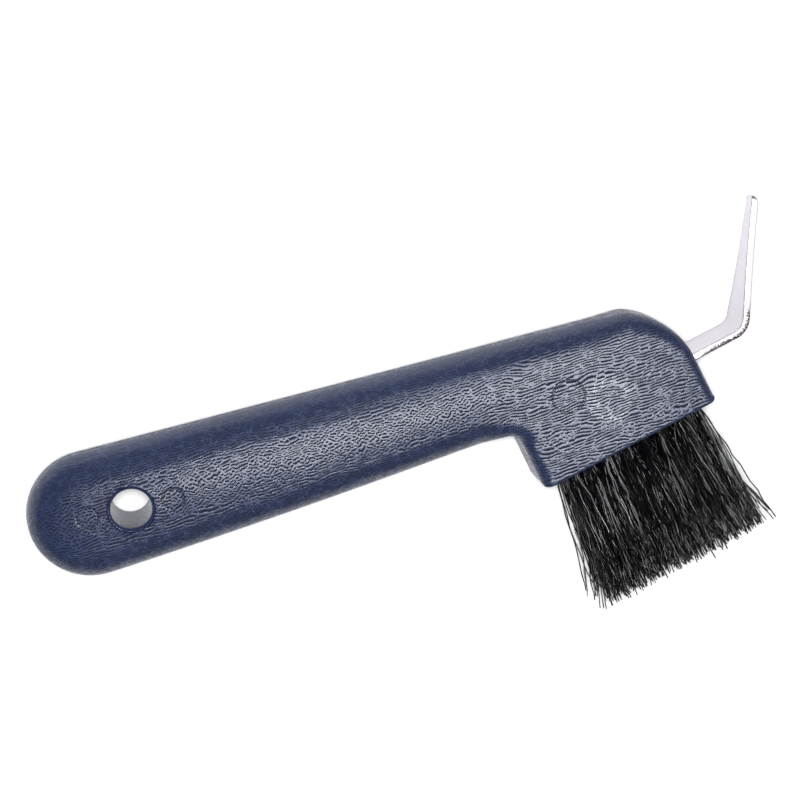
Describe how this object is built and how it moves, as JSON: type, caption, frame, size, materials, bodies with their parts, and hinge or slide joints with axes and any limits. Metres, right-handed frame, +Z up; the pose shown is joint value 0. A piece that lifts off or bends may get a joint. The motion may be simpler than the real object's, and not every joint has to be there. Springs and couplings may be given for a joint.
{
  "type": "hoof pick",
  "caption": "Hand hoof pick: moulded plastic handle with a hanging hole, bent steel hook set in its head, and a stiff bristle brush on the head's edge.",
  "frame": {"origin": "middle of the bounding box, on the plane the pick lies on (its head's flat back)", "axes": "+X runs along the grip to the head and hook, +Y is the side the hook's tip points to, +Z is up through the thickness"},
  "size_m": [0.2082, 0.0966, 0.018],
  "materials": {
    "handle_plastic": "dark navy polypropylene with a fine wrinkled grain, semi-gloss",
    "hook_steel": "bright plated steel strip, sheared edges",
    "bristle": "black crimped polypropylene filament",
    "anchor_wire": "flat galvanised wire"
  },
  "bodies": {
    "root": {"handle": "handle_plastic", "hook": "hook_steel", "tuft_anchors": "anchor_wire", "tuft_front_1": "bristle", "tuft_front_2": "bristle", "tuft_front_3": "bristle", "tuft_front_4": "bristle", "tuft_front_5": "bristle", "tuft_front_6": "bristle", "tuft_front_7": "bristle", "tuft_front_8": "bristle", "tuft_middle_1": "bristle", "tuft_middle_2": "bristle", "tuft_middle_3": "bristle", "tuft_middle_4": "bristle", "tuft_middle_5": "bristle", "tuft_middle_6": "bristle", "tuft_middle_7": "bristle", "tuft_back_1": "bristle", "tuft_back_2": "bristle", "tuft_back_3": "bristle", "tuft_back_4": "bristle", "tuft_back_5": "bristle", "tuft_back_6": "bristle", "tuft_back_7": "bristle", "tuft_back_8": "bristle"}
  },
  "joints": []
}
